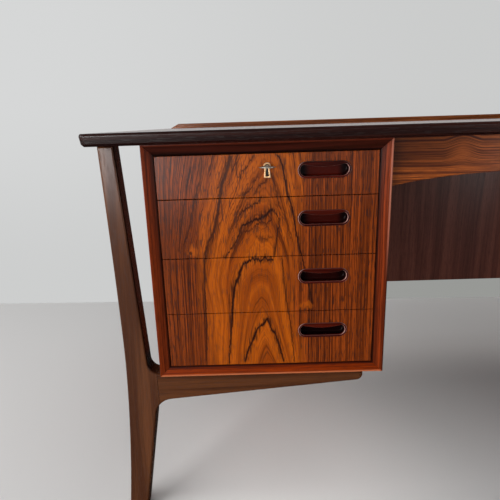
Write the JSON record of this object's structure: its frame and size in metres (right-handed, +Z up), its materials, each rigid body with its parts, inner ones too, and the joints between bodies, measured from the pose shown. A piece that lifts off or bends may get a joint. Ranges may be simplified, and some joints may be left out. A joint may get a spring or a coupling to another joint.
{
  "type": "executive desk",
  "caption": "Executive desk in dark rosewood: drawer pedestals on splayed leg frames, an arched kneehole rail, a raised back lip, a locking drawer and an open bookcase behind.",
  "frame": {"origin": "on the floor under the middle of the desk", "axes": "+X to the right of the person who sits at it, +Y away from that person, +Z up"},
  "size_m": [1.708, 0.83, 0.754],
  "materials": {
    "veneer": "oiled rosewood veneer",
    "drawer_veneer": "semi-gloss rosewood veneer with figure",
    "frame_wood": "semi-gloss rosewood",
    "edge_wood": "dark semi-gloss rosewood",
    "leg_wood": "satin dark wood",
    "pull_wood": "polished dark rosewood",
    "tray_wood": "plain satin hardwood",
    "escutcheon_metal": "pale worn brass",
    "key_metal": "worn nickel",
    "lock_steel": "plain steel"
  },
  "bodies": {
    "desk_frame": {"top_panel": "veneer", "front_lipping": "edge_wood", "left_lipping": "edge_wood", "right_lipping": "edge_wood", "back_lip": "frame_wood", "front_left_leg": "leg_wood", "front_left_bearer": "leg_wood", "front_right_leg": "leg_wood", "front_right_bearer": "leg_wood", "back_left_leg": "leg_wood", "back_left_bearer": "leg_wood", "back_right_leg": "leg_wood", "back_right_bearer": "leg_wood", "left_outer_side": "frame_wood", "left_inner_side": "frame_wood", "left_bottom_board": "frame_wood", "left_top_board": "frame_wood", "left_partition": "frame_wood", "left_shelf": "veneer", "right_outer_side": "frame_wood", "right_inner_side": "frame_wood", "right_bottom_board": "frame_wood", "right_top_board": "frame_wood", "right_partition": "frame_wood", "right_shelf": "veneer", "apron_rail": "frame_wood", "modesty_panel": "veneer", "bookcase_bottom": "frame_wood", "middle_shelf": "veneer"},
    "left_drawer_1": {"left_drawer_1_front": "drawer_veneer", "left_drawer_1_pull": "pull_wood", "left_drawer_1_tray": "tray_wood", "escutcheon": "escutcheon_metal", "lock_case": "lock_steel"},
    "left_drawer_2": {"left_drawer_2_front": "drawer_veneer", "left_drawer_2_pull": "pull_wood", "left_drawer_2_tray": "tray_wood"},
    "left_drawer_3": {"left_drawer_3_front": "drawer_veneer", "left_drawer_3_pull": "pull_wood", "left_drawer_3_tray": "tray_wood"},
    "left_drawer_4": {"left_drawer_4_front": "drawer_veneer", "left_drawer_4_pull": "pull_wood", "left_drawer_4_tray": "tray_wood"},
    "right_drawer_1": {"right_drawer_1_front": "drawer_veneer", "right_drawer_1_pull": "pull_wood", "right_drawer_1_tray": "tray_wood"},
    "right_drawer_2": {"right_drawer_2_front": "drawer_veneer", "right_drawer_2_pull": "pull_wood", "right_drawer_2_tray": "tray_wood"},
    "right_drawer_3": {"right_drawer_3_front": "drawer_veneer", "right_drawer_3_pull": "pull_wood", "right_drawer_3_tray": "tray_wood"},
    "right_drawer_4": {"right_drawer_4_front": "drawer_veneer", "right_drawer_4_pull": "pull_wood", "right_drawer_4_tray": "tray_wood"},
    "key": {"key": "key_metal"},
    "lock_bolt": {"lock_bolt": "lock_steel"}
  },
  "joints": [
    {"name": "left_drawer_1_slide", "type": "slide", "parent": "desk_frame", "child": "left_drawer_1", "axis": [0, -1, 0], "range_m": [0, 0.34]},
    {"name": "left_drawer_2_slide", "type": "slide", "parent": "desk_frame", "child": "left_drawer_2", "axis": [0, -1, 0], "range_m": [0, 0.34]},
    {"name": "left_drawer_3_slide", "type": "slide", "parent": "desk_frame", "child": "left_drawer_3", "axis": [0, -1, 0], "range_m": [0, 0.34]},
    {"name": "left_drawer_4_slide", "type": "slide", "parent": "desk_frame", "child": "left_drawer_4", "axis": [0, -1, 0], "range_m": [0, 0.34]},
    {"name": "right_drawer_1_slide", "type": "slide", "parent": "desk_frame", "child": "right_drawer_1", "axis": [0, -1, 0], "range_m": [0, 0.34]},
    {"name": "right_drawer_2_slide", "type": "slide", "parent": "desk_frame", "child": "right_drawer_2", "axis": [0, -1, 0], "range_m": [0, 0.34]},
    {"name": "right_drawer_3_slide", "type": "slide", "parent": "desk_frame", "child": "right_drawer_3", "axis": [0, -1, 0], "range_m": [0, 0.34]},
    {"name": "right_drawer_4_slide", "type": "slide", "parent": "desk_frame", "child": "right_drawer_4", "axis": [0, -1, 0], "range_m": [0, 0.34]},
    {"name": "key_turn", "type": "hinge", "parent": "left_drawer_1", "child": "key", "pos_m": [-0.5625, -0.383, 0.68], "axis": [0, 1, 0], "range_deg": [0, 180]},
    {"name": "bolt_throw", "type": "slide", "parent": "left_drawer_1", "child": "lock_bolt", "axis": [0, 0, 1], "range_m": [0, 0.008]}
  ],
  "couplings": [
    {"joint": "bolt_throw", "follows": "key_turn", "m_per_rad": 0.0025464}
  ]
}
